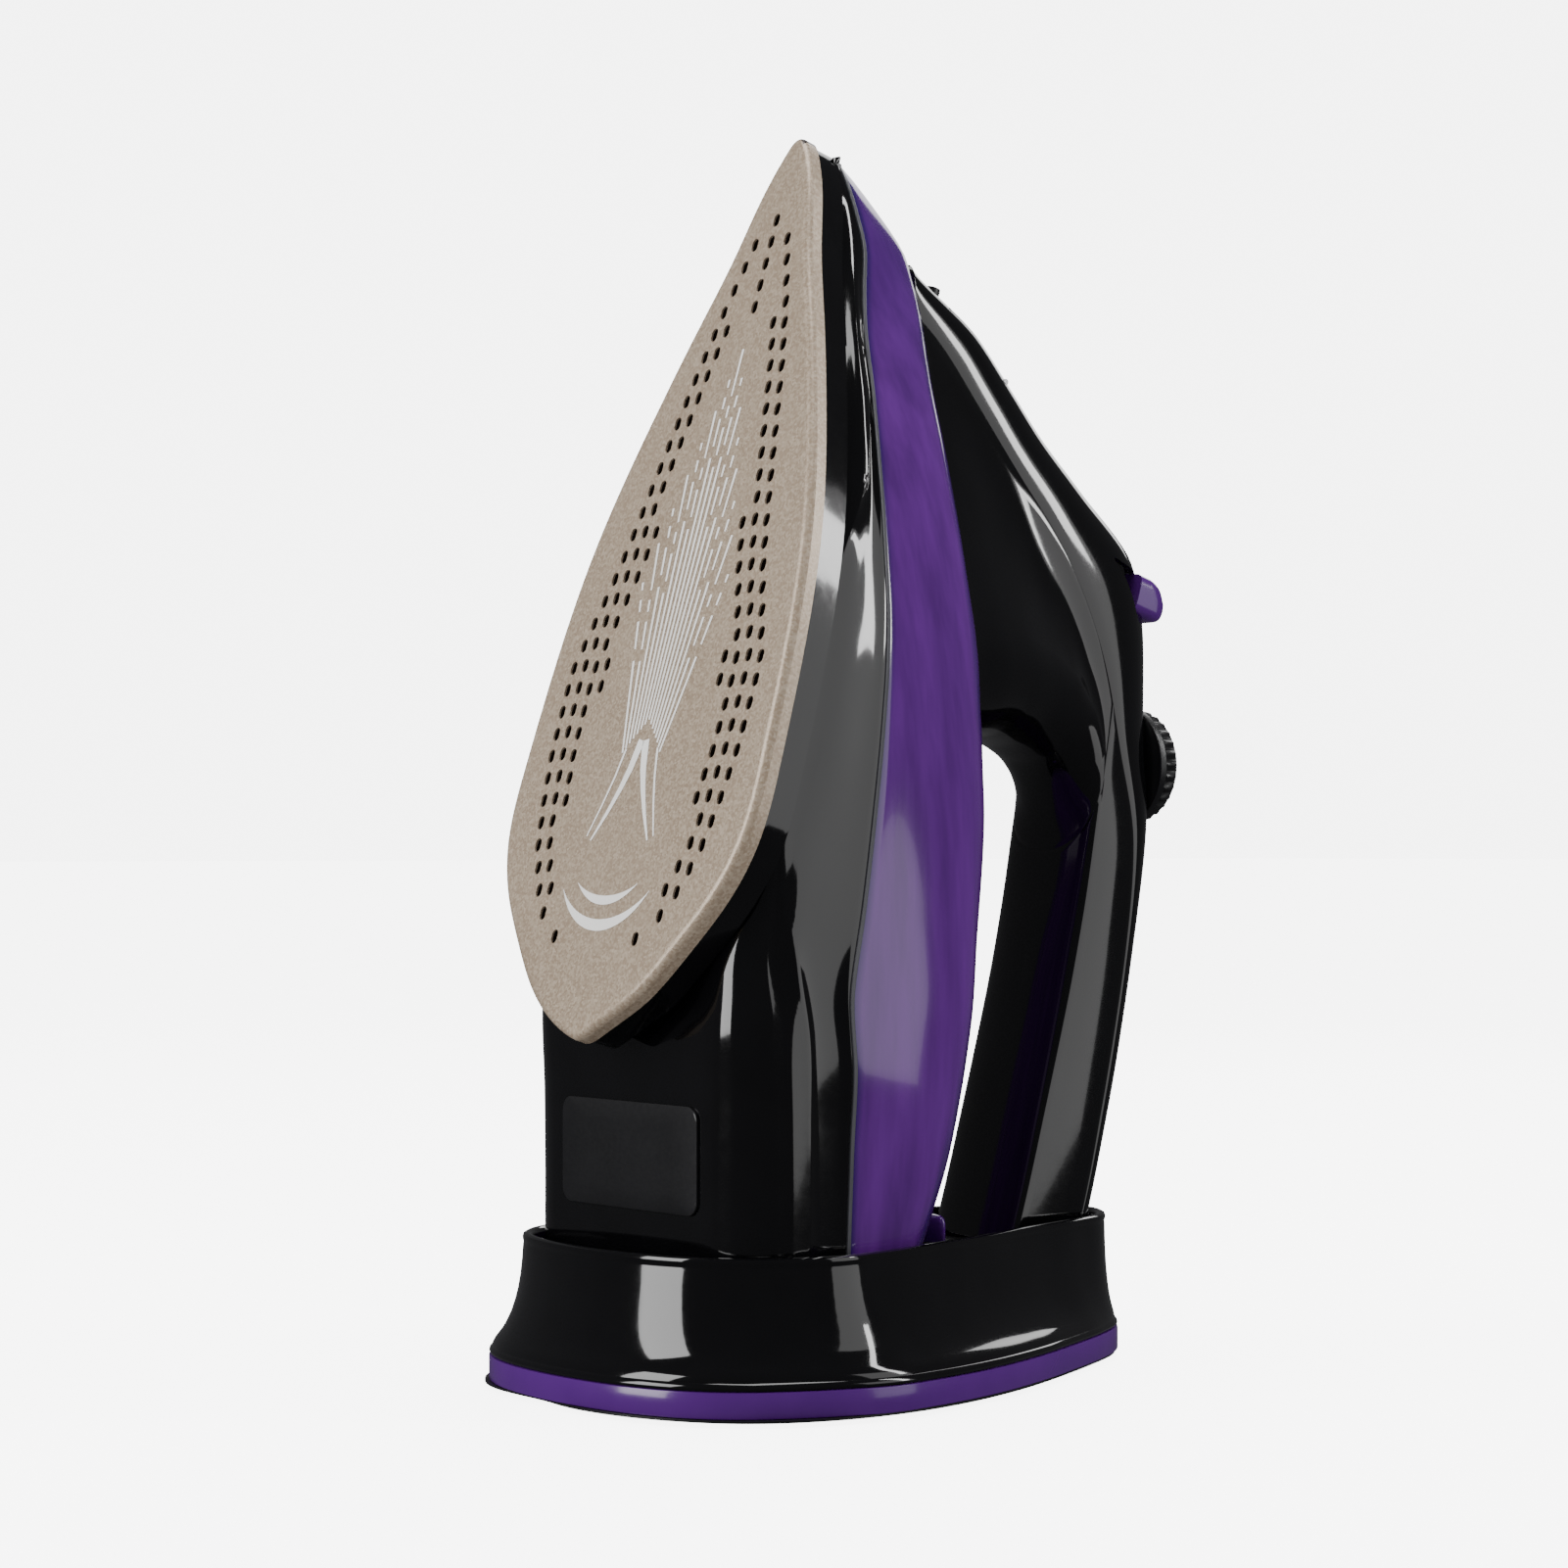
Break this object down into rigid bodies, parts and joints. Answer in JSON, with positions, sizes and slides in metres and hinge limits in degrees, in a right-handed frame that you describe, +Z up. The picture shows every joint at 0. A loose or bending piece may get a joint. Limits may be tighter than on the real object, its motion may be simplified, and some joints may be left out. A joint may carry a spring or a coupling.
{
  "type": "cordless steam iron with docking base",
  "caption": "Cordless steam iron standing on its heel in a docking base, with drilled soleplate, clear water tank, loop handle, thumb buttons, dial and filling door.",
  "frame": {"origin": "middle of the overall plan box, on the surface that the dock's feet stand on", "axes": "+Z up; -Y the side that the soleplate faces; +Y the handle and the tail of the dock; X across"},
  "size_m": [0.1232, 0.1874, 0.2991],
  "materials": {
    "soleplate_enamel": "champagne ceramic coating with a fine sparkle",
    "black_gloss": "piano black, moulded",
    "black_satin": "satin black, moulded",
    "grey_satin": "dark grey satin trim",
    "violet_clear": "translucent violet, moulded",
    "violet_gloss": "violet, moulded",
    "cast_aluminium": "sand cast",
    "sheath_steel": "drawn tube, heat tinted",
    "sheet_steel": "pressed sheet",
    "pin_steel": "turned",
    "silicone": "moulded silicone",
    "white_plastic": "moulded",
    "brass_insert": "turned",
    "foot_rubber": "moulded"
  },
  "bodies": {
    "dock": {"dock_collar": "black_gloss", "dock_band": "violet_gloss", "dock_floor": "black_satin", "dock_feet": "foot_rubber", "dock_seat": "black_satin", "dock_posts": "black_satin", "dock_screws": "pin_steel", "contact_carrier": "white_plastic", "dock_contacts": "brass_insert", "cord_gland": "foot_rubber", "latch_keeper": "pin_steel"},
    "door": {"filling_door": "black_gloss"},
    "spray_key": {"spray_button": "violet_gloss"},
    "steam_key": {"steam_button": "violet_gloss"},
    "dial": {"dial_knob": "black_gloss", "dial_shaft": "white_plastic"},
    "latch": {"latch_turn": "violet_gloss", "latch_shaft": "violet_gloss", "latch_bolt": "pin_steel"},
    "iron": {"soleplate": "soleplate_enamel", "skirt": "black_gloss", "heater_casting": "cast_aluminium", "heating_element": "sheath_steel", "chamber_gasket": "silicone", "chamber_lid": "sheet_steel", "lower_shell": "black_gloss", "tank_trim": "grey_satin", "water_tank": "violet_clear", "upper_cover": "black_gloss", "door_pin": "pin_steel", "handle_grip": "black_gloss", "handle_cap": "black_gloss", "spray_pump": "white_plastic", "steam_pump": "white_plastic", "spray_hose": "silicone", "steam_hose": "silicone", "spray_nozzle": "brass_insert", "heel_base": "black_gloss", "terminal_block": "white_plastic", "contact_pads": "brass_insert", "heel_panel": "black_gloss", "thermostat": "sheet_steel", "thermal_fuse": "sheet_steel", "drip_valve": "brass_insert", "lid_screws": "pin_steel"}
  },
  "joints": [
    {"name": "iron_lift", "type": "slide", "parent": "dock", "child": "iron", "axis": [0, 0, 1], "range_m": [0, 0.045]},
    {"name": "filling_door_hinge", "type": "hinge", "parent": "iron", "child": "door", "pos_m": [0, 0.03954, 0.24463], "axis": [-1, 0, 0], "range_deg": [0, 70]},
    {"name": "spray_press", "type": "slide", "parent": "iron", "child": "spray_key", "axis": [0, -0.9551, 0.2964], "range_m": [0, 0.004], "stiffness_N_per_m": 400, "springref_m": -0.002},
    {"name": "steam_press", "type": "slide", "parent": "iron", "child": "steam_key", "axis": [0, -0.9551, 0.2964], "range_m": [0, 0.004], "stiffness_N_per_m": 400, "springref_m": -0.002},
    {"name": "dial_turn", "type": "hinge", "parent": "iron", "child": "dial", "pos_m": [0, 0.0833, 0.1495], "axis": [0, 1, 0], "range_deg": [0, 270]},
    {"name": "latch_swing", "type": "hinge", "parent": "iron", "child": "latch", "pos_m": [0, 0.0171, 0.0313], "axis": [0, 0, 1], "range_deg": [0, 90]}
  ]
}
